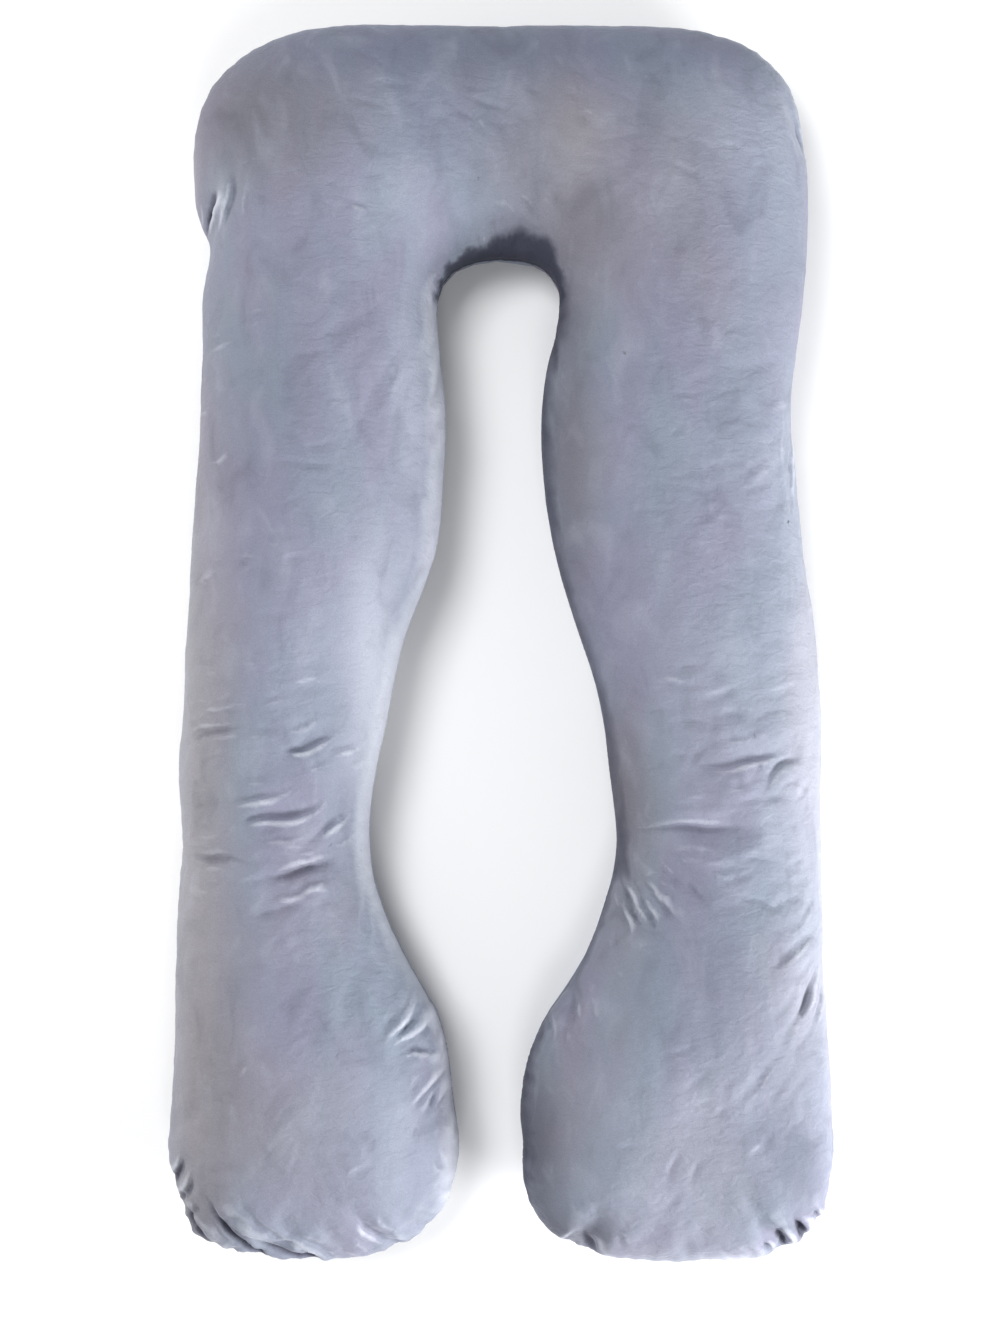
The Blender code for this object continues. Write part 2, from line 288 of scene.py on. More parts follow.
FOLDS = {
    "left foot, outer corner": [
        Fold(-36.4, -58.8, -40.2, -66.0, 0.4, 13.0, 6.5, -0.3),
        Fold(-35.0, -60.5, -39.6, -68.4, 0.4, 11.0, 6.5, -0.3),
        Fold(-35.6, -63.5, -37.4, -65.6, 0.0, 4.0, 5.0, 0.0),
        Fold(-38.4, -63.4, -35.4, -69.8, -0.4, 12.0, 7.0, -0.1),
        Fold(-36.6, -64.6, -32.8, -71.4, -0.4, 13.0, 7.0, 0.0),
        Fold(-34.2, -62.4, -21.0, -75.6, -1.9, 19.0, 10.0, 0.08),
        Fold(-29.6, -67.6, -18.6, -73.4, -0.4, 17.0, 9.0, 0.08),
        Fold(-23.4, -69.2, -21.2, -71.8, 0.0, 6.0, 5.5, 0.3),
        Fold(-20.8, -69.8, -18.8, -72.2, 0.0, 5.0, 5.0, 0.3),
        Fold(-18.6, -70.2, -16.8, -72.0, 0.0, 4.0, 5.0, 0.3),
        Fold(-16.6, -70.0, -14.8, -71.8, 0.0, 4.0, 5.0, 0.3),
    ],
    "left foot, inner corner": [
        Fold(-16.4, -65.2, -12.8, -69.6, -0.4, 7.0, 6.0, -0.5),
        Fold(-13.4, -69.0, -10.8, -70.2, 0.0, 5.0, 5.0, 0.0),
        Fold(-10.2, -67.4, -8.0, -68.1, 0.0, 5.0, 5.0, 0.0),
        Fold(-12.2, -66.0, -10.2, -68.4, 0.2, 3.5, 6.0, 0.0),
        Fold(-7.8, -58.8, -6.2, -61.2, 0.0, 5.0, 5.5, 0.0),
        Fold(-5.4, -55.0, -5.0, -57.9, 0.0, 4.0, 5.0, 0.0),
    ],
    "left foot, inner side": [
        Fold(-10.0, -39.6, -11.8, -42.6, 0.2, 4.0, 6.0, 0.3),
        Fold(-9.2, -41.2, -13.4, -46.6, 0.5, 7.0, 6.5, -0.4),
        Fold(-7.6, -43.8, -12.8, -46.6, 0.4, 7.0, 6.0, -0.4),
        Fold(-6.6, -45.0, -7.2, -48.6, 0.5, 7.0, 6.0, 0.0),
        Fold(-6.8, -47.4, -12.6, -47.6, -0.7, 7.0, 6.0, 0.3),
        Fold(-6.2, -49.4, -10.6, -53.6, 0.4, 8.0, 6.0, -0.4),
        Fold(-6.6, -50.8, -9.8, -55.0, 0.4, 7.0, 5.5, 0.0),
        Fold(-9.4, -54.4, -9.9, -57.6, 0.0, 3.5, 8.0, 0.0),
    ],
    "left leg": [
        Fold(-37.4, -12.2, -28.0, -9.6, 0.5, 6.5, 9.0, 0.0),
        Fold(-36.2, -8.2, -31.4, -8.4, 0.1, 3.0, 7.0, 0.2),
        Fold(-25.2, -12.6, -18.6, -10.4, -0.4, 7.5, 7.0, -0.7),
        Fold(-20.0, -12.9, -15.6, -10.9, -0.2, 6.0, 7.0, -0.4),
        Fold(-31.2, -18.4, -24.8, -17.2, -0.2, 6.0, 7.0, -0.5),
        Fold(-30.0, -20.3, -20.2, -18.8, -0.4, 7.5, 8.0, -0.5),
        Fold(-21.6, -22.2, -17.4, -19.2, -0.3, 7.0, 7.0, -0.6),
        Fold(-24.0, -23.3, -18.8, -21.1, -0.2, 4.5, 6.5, 0.0),
        Fold(-36.9, -25.0, -28.6, -25.4, 0.2, 6.5, 9.0, 0.0),
        Fold(-27.0, -26.9, -18.4, -24.2, -0.6, 8.0, 7.5, 0.25),
        Fold(-26.0, -29.0, -19.0, -26.2, -0.4, 5.0, 8.0, -0.5),
        Fold(-26.0, -30.6, -22.0, -29.4, 0.0, 4.0, 7.0, 0.3),
        Fold(-28.0, -31.1, -24.6, -30.8, 0.0, 3.0, 6.0, 0.0),
        Fold(-36.0, -19.2, -32.2, -19.0, 0.0, 3.0, 7.0, 0.0),
        Fold(-24.2, -5.9, -18.0, -4.8, 0.2, 3.0, 8.0, 0.2),
        Fold(-36.0, -2.6, -31.2, -3.2, 0.0, 3.0, 8.0, 0.0),
        Fold(-28.8, 2.5, -23.2, 2.9, 0.2, 2.5, 8.0, 0.0),
        Fold(-35.8, 8.4, -29.2, 8.8, 0.0, 2.5, 8.0, 0.0),
        Fold(-29.4, 12.1, -22.2, 11.6, 0.2, 2.5, 8.0, 0.0),
        Fold(-35.3, 16.8, -29.8, 16.4, 0.0, 2.5, 8.0, 0.0),
        Fold(-15.6, -27.4, -15.9, -38.0, 0.3, 3.0, 9.0, 0.0),
    ],
    "right leg": [
        Fold(13.9, -27.0, 16.9, -33.4, -0.4, 9.0, 6.5, 0.4),
        Fold(15.4, -26.8, 18.4, -33.6, -0.3, 8.0, 6.0, 0.3),
        Fold(15.8, -26.6, 20.4, -32.4, -0.4, 6.0, 6.0, 0.2),
        Fold(13.5, -30.2, 14.7, -34.2, 0.0, 6.0, 6.0, 0.2),
        Fold(13.2, -33.0, 13.7, -36.2, 0.0, 4.0, 6.0, 0.0),
        Fold(16.6, -24.4, 21.6, -27.9, -0.4, 5.0, 6.5, 0.3),
        Fold(21.0, -26.4, 24.2, -30.4, -0.3, 3.5, 7.0, 0.0),
        Fold(14.2, -22.2, 28.6, -21.5, 0.4, 6.0, 9.0, 0.2),
        Fold(21.8, -14.3, 33.6, -11.5, -0.7, 6.0, 7.5, -0.5),
        Fold(34.8, -12.9, 29.6, -17.8, -1.1, 5.5, 7.0, 0.4),
        Fold(34.0, -18.3, 35.5, -16.0, 0.0, 4.0, 6.0, 0.0),
        Fold(23.0, -8.8, 29.2, -8.2, 0.2, 3.0, 8.0, 0.0),
        Fold(16.0, -8.6, 19.8, -7.7, 0.0, 3.0, 8.0, 0.0),
        Fold(35.1, -24.7, 32.5, -26.3, 0.0, 4.0, 6.0, 0.0),
        Fold(30.3, -30.6, 34.8, -29.3, 0.2, 3.5, 6.0, 0.0),
        Fold(36.2, -32.8, 30.2, -37.1, 0.4, 5.0, 8.0, 0.5),
        Fold(36.4, -29.0, 32.6, -33.6, 0.3, 4.0, 7.0, 0.4),
        Fold(35.2, -40.0, 31.0, -46.4, 0.4, 4.0, 7.0, 0.4),
        Fold(36.8, -36.6, 33.2, -43.6, 0.4, 7.0, 7.0, 0.6),
        Fold(37.6, -38.6, 35.8, -44.2, 0.2, 5.0, 5.5, 0.3),
        Fold(33.4, -44.0, 24.2, -55.0, 0.3, 3.0, 8.0, 0.3),
        Fold(28.8, -48.9, 25.8, -52.4, 0.0, 3.0, 6.0, 0.2),
        Fold(35.4, -49.2, 32.5, -51.4, 0.0, 3.0, 6.0, 0.0),
        Fold(7.4, 20.2, 13.4, 22.8, 0.3, 2.5, 9.0, 0.0),
        Fold(11.4, 3.4, 16.8, 5.5, 0.3, 2.5, 9.0, 0.0),
        Fold(18.2, -4.0, 24.0, -2.6, 0.2, 2.5, 8.0, 0.0),
    ],
    "right foot": [
        Fold(8.1, -39.8, 8.5, -44.2, 0.0, 6.0, 6.0, 0.3),
        Fold(5.8, -42.4, 5.6, -46.4, 0.0, 5.0, 6.0, 0.2),
        Fold(12.5, -37.2, 13.5, -39.8, 0.0, 4.0, 6.0, 0.0),
        Fold(9.4, -66.8, 12.0, -72.2, -0.3, 9.0, 10.0, 0.2),
        Fold(8.6, -67.2, 6.6, -70.6, 0.2, 5.0, 6.0, -0.3),
        Fold(33.3, -65.6, 35.3, -71.0, 0.5, 16.0, 8.0, 0.3),
        Fold(31.5, -66.8, 33.7, -71.4, 0.0, 13.0, 7.0, 0.3),
        Fold(29.8, -68.2, 32.0, -71.7, 0.0, 8.0, 5.5, 0.3),
        Fold(27.8, -69.0, 29.7, -72.0, 0.0, 6.0, 5.0, 0.2),
        Fold(25.4, -69.6, 27.1, -72.2, 0.0, 5.0, 5.0, 0.2),
        Fold(36.0, -64.8, 37.6, -68.2, 0.0, 8.0, 5.0, 0.2),
        Fold(2.6, -58.1, 4.2, -58.4, 0.0, 3.0, 5.0, 0.0),
        Fold(2.8, -61.9, 4.6, -62.1, 0.0, 3.0, 5.0, 0.0),
    ],
    "shoulders": [
        Fold(-32.5, 52.2, -34.6, 46.8, 0.2, 13.0, 5.5, 0.5),
        Fold(-30.0, 53.6, -32.0, 46.2, 0.2, 7.5, 6.0, -0.5),
        Fold(33.1, 62.0, 35.4, 55.2, 0.3, 6.5, 6.5, 0.3),
        Fold(33.4, 31.4, 33.0, 11.6, 0.5, 5.0, 5.0, 0.5),
    ],
    "head": [
        Fold(-4.4, 61.6, -0.8, 57.1, -0.4, 3.0, 5.5, 0.3),
        Fold(-3.6, 61.9, 0.3, 60.2, 0.2, 2.5, 5.0, 0.0),
        Fold(-8.2, 59.7, -5.1, 58.7, 0.2, 2.5, 5.5, 0.0),
        Fold(-10.9, 61.8, -9.1, 60.2, 0.0, 2.0, 5.5, 0.0),
        Fold(-7.2, 54.4, -1.8, 51.6, 0.3, 3.0, 6.0, 0.0),
        Fold(-15.8, 53.5, -12.1, 52.2, 0.0, 2.0, 6.0, 0.0),
        Fold(0.4, 51.8, 3.6, 48.9, 0.2, 4.5, 5.0, 0.3),
        Fold(-1.6, 50.6, 0.4, 48.6, 0.2, 3.0, 5.0, 0.0),
        Fold(7.8, 60.2, 12.1, 57.7, -0.3, 2.5, 6.0, 0.0),
        Fold(10.2, 56.0, 16.8, 57.3, 0.3, 2.5, 6.0, 0.0),
        Fold(11.4, 63.0, 15.6, 60.0, 0.3, 2.0, 6.0, 0.0),
        Fold(6.6, 54.8, 10.9, 51.8, 0.3, 2.5, 7.0, 0.0),
    ],
    "arch": [
        Fold(-0.7, 48.6, -0.2, 44.8, 0.0, 4.0, 4.5, 0.0),
        Fold(1.9, 48.4, 1.7, 44.8, 0.0, 3.0, 4.5, 0.0),
        Fold(-2.9, 48.1, -1.9, 44.8, 0.0, 4.5, 4.5, 0.2),
        Fold(3.9, 47.9, 3.3, 44.6, 0.0, 3.0, 4.5, 0.0),
        Fold(-5.2, 47.0, -3.8, 44.2, 0.0, 4.0, 4.5, 0.2),
        Fold(-6.9, 45.2, -5.0, 43.2, 0.0, 3.5, 4.5, 0.2),
    ],
}
RIDGE = 0.36               # how high the ridges beside a trough are, as a share of its depth
WANDER = 0.0013            # how far a crease strays from its line on its way, in metres
FINE_WANDER = 0.0008       # and how far in shorter waves
print("folds", sum(len(rows) for rows in FOLDS.values()))


def fold_shape(points, row, width_share=1.0):
    """Where one fold has its trough, its ridges and the painted highlight beside its higher ridge."""
    start = np.array([row.x0, row.y0]) * CM
    run = np.array([row.x1, row.y1]) * CM - start
    length = np.hypot(*run)
    run /= length
    from_start = points[:, :2] - start
    share = from_start @ run / length
    taper = np.sin(np.pi * np.clip(share, 0, 1))
    bow = 4 * row.bow * CM * share * (1 - share)
    x, y = points[:, 0], points[:, 1]
    wander = WANDER * np.sin(95 * x + 68 * y) + FINE_WANDER * np.sin(215 * y - 90 * x)
    aside = from_start @ np.array([-run[1], run[0]]) - bow + wander
    width = row.half_width * 0.001 * width_share * (0.35 + 0.65 * taper ** 0.7)
    trough = np.exp(-np.abs(aside / width) ** 1.6)
    left = np.exp(-((aside - 1.7 * width) / (1.2 * width)) ** 2) * (1 + 2 * row.lean)
    right = np.exp(-((aside + 1.7 * width) / (1.2 * width)) ** 2) * (1 - 2 * row.lean)
    streak = np.exp(-((aside - 1.8 * width) / (0.75 * width)) ** 2) * max(0, 0.28 + row.lean)
    streak += np.exp(-((aside + 1.8 * width) / (0.75 * width)) ** 2) * max(0, 0.28 - row.lean)
    taper = taper ** 1.3 * (0.86 + 0.14 * np.sin(9 * share + 5 * row.x0))
    return taper * trough, taper * (left + right), taper * streak


def with_sisters(row):
    """A crease and the two fainter, shorter ones that lie along its sides."""
    fainter = min(1, 9 / row.depth)
    run = np.array([row.x1 - row.x0, row.y1 - row.y0])
    aside = np.array([-run[1], run[0]]) / np.hypot(*run) * row.half_width * 0.1
    turn = 0.10 * math.sin(7 * row.x0 + 3 * row.y1)
    rows = [row]
    for side, near, share in ((1, 3.3, 0.42), (-1, 3.0, 0.36)):
        start = np.array([row.x0, row.y0]) + run * (0.22 + turn) + aside * side * near
        end = np.array([row.x0, row.y0]) + run * (0.86 + turn) + aside * side * near * (1 - 2 * turn)
        rows.append(row._replace(x0=start[0], y0=start[1], x1=end[0], y1=end[1],
                                 depth=row.depth * share * fainter, half_width=row.half_width * 0.8))
    return rows


CREASES = [crease for rows in FOLDS.values() for row in rows for crease in with_sisters(row)]
DEEPEST = 14.0
FOLD_REACH = 0.045

# %% [markdown]
# Velvet that has been lain on is full of faint creases too, which nobody would place one by one. A
# second table says where they lie, in centimetres, how many there are and at what angle, in degrees,
# they run. A seeded random generator lays them, so they are the same each time.

# %% Faint creases
Area = namedtuple("Area", "x y reach_x reach_y count angle")
CREASE_SEED = 5

FAINT_AREAS = [
    Area(-27.0, 20.0, 9.0, 24.0, 34, 6),
    Area(-27.0, -20.0, 9.0, 20.0, 30, 10),
    Area(22.0, 18.0, 12.0, 20.0, 26, 12),
    Area(26.0, -18.0, 10.0, 18.0, 26, 8),
    Area(-16.0, 57.0, 16.0, 10.0, 18, -20),
    Area(14.0, 58.0, 16.0, 10.0, 18, -30),
    Area(0.0, 55.0, 8.0, 7.0, 10, -40),
    Area(-22.0, -54.0, 12.0, 10.0, 10, 50),
    Area(22.0, -52.0, 12.0, 14.0, 14, 42),
]


def scattered(area, random):
    """Faint creases of chance length and depth, inside the ellipse of one area."""
    rows = []
    for _ in range(area.count):
        turn, out = random.uniform(0, 2 * math.pi), math.sqrt(random.uniform(0, 1))
        x = area.x + area.reach_x * out * math.cos(turn)
        y = area.y + area.reach_y * out * math.sin(turn)
        angle = math.radians(area.angle + random.normal(0, 14))
        half = random.uniform(1.2, 3.6)
        depth, width = random.uniform(1.2, 3.4), random.uniform(4.5, 7.5)
        across, up = half * math.cos(angle), half * math.sin(angle)
        bow, lean = random.normal(0, 0.25), random.normal(0, 0.25)
        rows.append(Fold(x - across, y - up, x + across, y + up, bow, depth, width, lean))
    return rows


chance = np.random.default_rng(CREASE_SEED)
FAINT_CREASES = [row for area in FAINT_AREAS for row in scattered(area, chance)]
print("creases", len(CREASES), "placed with their sisters, and", len(FAINT_CREASES), "faint ones")


# %% [markdown]
# A fold does two things. It moves the cloth, in along its trough and out along its ridges, and it
# carries paint: painted shade, darkest in a deep trough, and a painted highlight along the ridge that
# is turned to the light. The cloth is moved twice, broadly before the simulation and finely after it,
# and the painted shade and highlight go to the material.

# %% How folds move and shade the cloth
def near_fold(points, row):
    """The numbers of the points that lie close enough to a fold to be moved by it."""
    low = np.array([min(row.x0, row.x1), min(row.y0, row.y1)]) * CM - FOLD_REACH
    high = np.array([max(row.x0, row.x1), max(row.y0, row.y1)]) * CM + FOLD_REACH
    return np.flatnonzero(((points[:, :2] > low) & (points[:, :2] < high)).all(axis=1))


def all_folds(points, normals, above, depth_share, width_share):
    """How far the folds move each point along its normal, in at the troughs and out at the ridges.

    They are on the upper panel only, and faint where the cover turns down, so that the outline stays whole.
    """
    push = np.zeros(len(points))
    for row in CREASES + FAINT_CREASES:
        near = near_fold(points, row)
        trough, ridges, _ = fold_shape(points[near], row, width_share)
        push[near] -= row.depth * 0.001 * depth_share * (trough - RIDGE * ridges)
    return push * on_upper_panel(above) * (0.05 + 0.95 * ramp(normals[:, 2], 0.17, 0.65))


def fold_shade_and_highlight(points, above, rows, width_share=1.0):
    """How dark the folds' painted shade is in their troughs and how bright their painted highlight on their
    ridges, at each point.
    """
    dark, bright = np.zeros((2, len(points)))
    for row in rows:
        near = near_fold(points, row)
        wide = 0.30 + 0.034 * row.depth + 0.05 * max(0, row.depth - 13)
        trough, _, streak = fold_shape(points[near], row, width_share * wide)
        dark[near] = np.maximum(dark[near], trough * min(1, row.depth / DEEPEST) ** 2.6)
        bright[near] = np.maximum(bright[near], streak * min(1, row.depth / DEEPEST) ** 0.6)
    upper = on_upper_panel(above)
    return dark * upper, bright * upper


# %% [markdown]
# ## Gathers along the seam
# Two flat panels can't make a round tube without giving up some length at the seam, so the cloth
# gathers into short pleats that cross it, most of all round the feet, the shoulders and the arch. The
# gathers are a wave along the seam with an uneven pitch, which fades out over a few centimetres on
# either side.

# %% Gathers
GATHER_PITCH = 0.021
GATHER_DEPTH = 0.0026
GATHER_REACH = 0.042
SLOW_PITCH = 0.11          # some stretches of the seam are gathered more than others


def uneven_wave(place, pitch, seed):
    """A wave of about that pitch along the seam, from -1 to 1, uneven and closed after one turn."""
    turn = 2 * math.pi * place / SEAM_LENGTH
    waves = round(SEAM_LENGTH / pitch)
    drift = 1.9 * np.sin(13 * turn + seed) + 1.4 * np.sin(29 * turn + 2.1 * seed)
    drift += 0.7 * np.sin(61 * turn + 3.3 * seed)
    return np.sin(waves * turn + drift)


def gather_strength(points):
    """How strongly the seam gathers the cloth: full round the feet and the arch, weak along the sides."""
    x, y = points[:, 0], points[:, 1]
    foot = ramp(-y, 0.55, 0.66)
    foot_side = 0.8 * np.exp(-((y + 0.49) / 0.07) ** 2) * (np.abs(x) < 0.2)
    arch = np.exp(-(np.hypot(x, y - 0.43) / 0.085) ** 2)
    corner = 0.45 * np.exp(-(np.hypot(np.abs(x) - 0.34, y - 0.65) / 0.13) ** 2)
    waist = 0.35 * np.exp(-((y + 0.24) / 0.12) ** 2)
    return np.clip(0.16 + foot + foot_side + arch + corner + waist, 0, 1)


def gathers(points, normals, place, away):
    """How far the gathers move each point along its normal."""
    fade = np.exp(-(away / GATHER_REACH) ** 2) * (0.2 + 0.8 * ramp(np.abs(normals[:, 2]), 0.0, 0.45))
    slow = 0.65 + 0.35 * uneven_wave(place, SLOW_PITCH, 5.0)
    return GATHER_DEPTH * gather_strength(points) * fade * slow * uneven_wave(place, GATHER_PITCH, 1.0)


print("gathers", round(SEAM_LENGTH / GATHER_PITCH), "round the seam")

# %% Shape the cover
points = points_of(cover.data)
normals = normals_of(cover.data)
place, away, above = seam_place(points)
off_floor = clear_of_floor(points)
push = all_folds(points, normals, above, 0.45, 1.05) + gathers(points, normals, place, away) * off_floor
shaped = points + normals * push[:, None]
put_points(cover.data, shaped)
print("largest push", round(np.abs(push).max() * 1000, 1), "mm")

# %% [markdown]
# ## Cloth simulation
# Blender's cloth gives what no table can: the cloth settles round the folds, and finds its own wrinkles
# where it has length to spare. The filling is a pressure inside the closed cover, there is no gravity,
# and the belly that lies on the surface is held still. A vertex group says where the cloth is too large
# all ways: round the edges of the feet and over the arch, and hardly at all on the smooth tops. A rest
# shape that is longer than the pillow makes the legs too long at their waists, so the wrinkles there
# run across the legs, as they do where a leg bends.

# %% Where the cloth has spare length
SPARE = 0.060
LEG_SPARE = 0.075          # extra length of the cloth along the legs, at their waists
PLAIN_SPARE = 0.006        # and everywhere else
WAIST_AT, WAIST_REACH = -0.16, 0.15
STIR = 0.0005              # a little unevenness, so that the wrinkles don't come in rows
STIR_SEED = 11
LAST_FRAME = 18
HELD_BELOW = 0.003         # the part of the belly that lies on the surface

edges = edges_of(cover.data)
x, y = shaped[:, 0], shaped[:, 1]
near_seam = np.exp(-(away / 0.06) ** 2)
arch = np.exp(-(np.hypot(x, y - 0.45) / 0.10) ** 2)
foot_top = ramp(-y, 0.38, 0.46) * (1 - near_seam)
spare = 0.10 + 0.20 * ramp(-y, -0.10, 0.05) + 0.6 * near_seam * gather_strength(shaped) + 0.15 * arch
spare = np.clip(spare * (1 - 0.7 * foot_top), 0, 1)
steps_y = np.linspace(y.min(), y.max(), 400)
excess = PLAIN_SPARE + LEG_SPARE * np.exp(-((steps_y - WAIST_AT) / WAIST_REACH) ** 2)
longer_y = np.concatenate([[0], np.cumsum((excess[1:] + excess[:-1]) / 2 * np.diff(steps_y))])
rest = shaped.copy()
rest[:, 1] += np.interp(y, steps_y, longer_y)

random = np.random.default_rng(STIR_SEED)
stir = smoothed(random.normal(0, 1, (len(shaped), 1)), edges, 6)
stir *= STIR / stir.std()
put_points(cover.data, shaped + normals * stir * off_floor[:, None])

held = cover.vertex_groups.new(name="held")
held.add(np.flatnonzero(points[:, 2] < HELD_BELOW).tolist(), 1.0, "REPLACE")
loose = cover.vertex_groups.new(name="spare_length")
for index, weight in enumerate(spare):
    loose.add([index], float(weight), "REPLACE")
cover.shape_key_add(name="Basis", from_mix=False)
rest_key = cover.shape_key_add(name="longer", from_mix=False)
rest_key.data.foreach_set("co", rest.ravel())
rest_key.value = 0.0
print("held", int((points[:, 2] < HELD_BELOW).sum()), "points")
print("mean spare length", round(spare.mean() * SPARE * 100, 1), "%")

# %% Inflate and settle
BROAD_ROUNDS = 130
LARGEST_MOVE = 0.012


def settle(piece, frames):
    """Run the cloth from its own shape and leave the moved points in the mesh, with no modifier."""
    cloth = piece.modifiers.new("filled", "CLOTH")
    cloth.settings.quality = 5
    cloth.settings.mass = 0.3
    cloth.settings.air_damping = 1.0
    cloth.settings.tension_stiffness = 15
    cloth.settings.compression_stiffness = 15
    cloth.settings.shear_stiffness = 5
    cloth.settings.bending_stiffness = 0.4
    cloth.settings.use_pressure = True
    cloth.settings.uniform_pressure_force = 4
    cloth.settings.effector_weights.gravity = 0
    cloth.settings.vertex_group_mass = "held"
    cloth.settings.vertex_group_shrink = "spare_length"
    cloth.settings.rest_shape_key = piece.data.shape_keys.key_blocks["longer"]
    cloth.settings.shrink_min = 0.0
    cloth.settings.shrink_max = -SPARE
    cloth.collision_settings.use_collision = False
    cloth.point_cache.frame_start = 1
    cloth.point_cache.frame_end = frames
    for frame_number in range(1, frames + 1):
        bpy.context.scene.frame_set(frame_number)
    made_real(piece)
    bpy.context.scene.frame_set(1)


settle(cover, LAST_FRAME)
move = points_of(cover.data) - shaped
broad = smoothed(move, edges, BROAD_ROUNDS)
fine = move - broad
size = np.linalg.norm(fine, axis=1)[:, None]
fine *= np.minimum(1, LARGEST_MOVE / np.maximum(size, 1e-9))
calm = np.clip(ramp(y, 0.46, 0.56) + ramp(y, 0.34, 0.44) * ramp(np.abs(x), 0.12, 0.20), 0, 1)
outline = np.exp(-(normals[:, 2] / 0.35) ** 2) * (above > -0.03)
fine *= ((1 - 0.7 * calm) * (1 - 0.6 * outline))[:, None]
settled = shaped + fine
put_points(cover.data, settled)
waist_part = np.abs(y - WAIST_AT) < WAIST_REACH
print("settled: fine moves up to", round(size.max() * 1000, 1), "mm; nineteen in twenty under",
      round(np.percentile(size, 95) * 1000, 1), "mm, at the waists",
      round(np.percentile(size[waist_part], 95) * 1000, 1), "mm")
cover.vertex_groups.clear()

# %% [markdown]
# ## The fine surface
# The quads along the folds are cut in four, and one subdivision then halves the size of all of them.
# The narrow bottom of each fold, the seam's groove and its finest gathers are pressed into that. Flat
# cloth needs few triangles and folds need many, so a collapsing decimation takes most from the
# underside and least from the folds, and the piece keeps its detail within 200,000 triangles.

# %% Crisp folds and the seam's groove
SEAM_GROOVE = 0.0022
GROOVE_WIDTH = 0.0035
FINE_PITCH = 0.0085
FINE_DEPTH = 0.0007
FOLD_EDGE = 0.14           # the tone from which a point counts as part of a fold

points = points_of(cover.data)
place, away, above = seam_place(points)
dark, bright = fold_shade_and_highlight(points, above, CREASES, 2.2)
folded = np.maximum(dark, bright) > FOLD_EDGE
fine_mesh = bmesh.new()
fine_mesh.from_mesh(cover.data)
cut = [edge for edge in fine_mesh.edges if folded[edge.verts[0].index] and folded[edge.verts[1].index]]
bmesh.ops.subdivide_edges(fine_mesh, edges=cut, cuts=1, use_grid_fill=True, smooth=1.0)
fine_mesh.to_mesh(cover.data)
fine_mesh.free()
print("folded points", int(folded.sum()), "and", len(cover.data.vertices), "points once they are finer")

subdivision = cover.modifiers.new("finer", "SUBSURF")
subdivision.levels = 1
subdivision.render_levels = 1
made_real(cover)
points = points_of(cover.data)
normals = normals_of(cover.data)
place, away, above = seam_place(points)
off_floor = clear_of_floor(points)
push = all_folds(points, normals, above, 0.46, 0.55)
push -= SEAM_GROOVE * np.exp(-(away / GROOVE_WIDTH) ** 2)
fade = np.exp(-(away / 0.016) ** 2) * (0.3 + 0.7 * ramp(np.abs(normals[:, 2]), 0.0, 0.3))
push += FINE_DEPTH * (0.35 + gather_strength(points)) * fade * uneven_wave(place, FINE_PITCH, 2.0)
points = points + normals * (push * off_floor)[:, None]
points[:, 2] = np.maximum(points[:, 2], 0)
put_points(cover.data, points)

# %% Fewer triangles where the cloth is smooth
MOST_TRIANGLES = 194_000
TOP_SHARE = 0.55           # how readily the top gives up its triangles, where the underside's is 1
LEVELS = 20                # steps of the vertex group that guides the decimation

dark, bright = fold_shade_and_highlight(points, above, CREASES, 2.0)
busy = np.clip(3 * np.maximum(dark, bright), 0, 1)
busy += 0.5 * np.exp(-(away / 0.02) ** 2) * gather_strength(points)
weight = np.where(above < -0.02, 1.0, TOP_SHARE) * (1 - 0.75 * np.clip(busy, 0, 1))
level = np.round(weight * LEVELS).astype(int)
plain = cover.vertex_groups.new(name="plain")
for step in np.unique(level):
    plain.add(np.flatnonzero(level == step).tolist(), step / LEVELS, "REPLACE")

triangles = triangles_in(cover.data)
decimate = cover.modifiers.new("lighter", "DECIMATE")
decimate.ratio = MOST_TRIANGLES / triangles
decimate.vertex_group = "plain"
decimate.vertex_group_factor = 1.0
made_real(cover)
cover.vertex_groups.clear()
cover.data.shade_smooth()
print("cover", triangles, "triangles, kept", triangles_in(cover.data))

# %% [markdown]
# ## Velvet
# The pile of velvet is far too fine to model, so its look is made of three numbers at each point of the
# cover, which a material of nodes then turns into colour and sheen. The first two say how much lighter or
# darker, warmer or bluer each point is painted. Part of that is the pile's own uneven tone, and part is
# painted light and shade: pale rims along edges that catch the light, and darker places where shade
# falls, such as the inner side of the right leg and foot. A short table says where: the middle and the
# reach of each patch in centimetres, how much lighter it is and how much warmer.

# %% Brushed patches and painted light and shade
Patch = namedtuple("Patch", "x y reach_x reach_y lighter warmer")
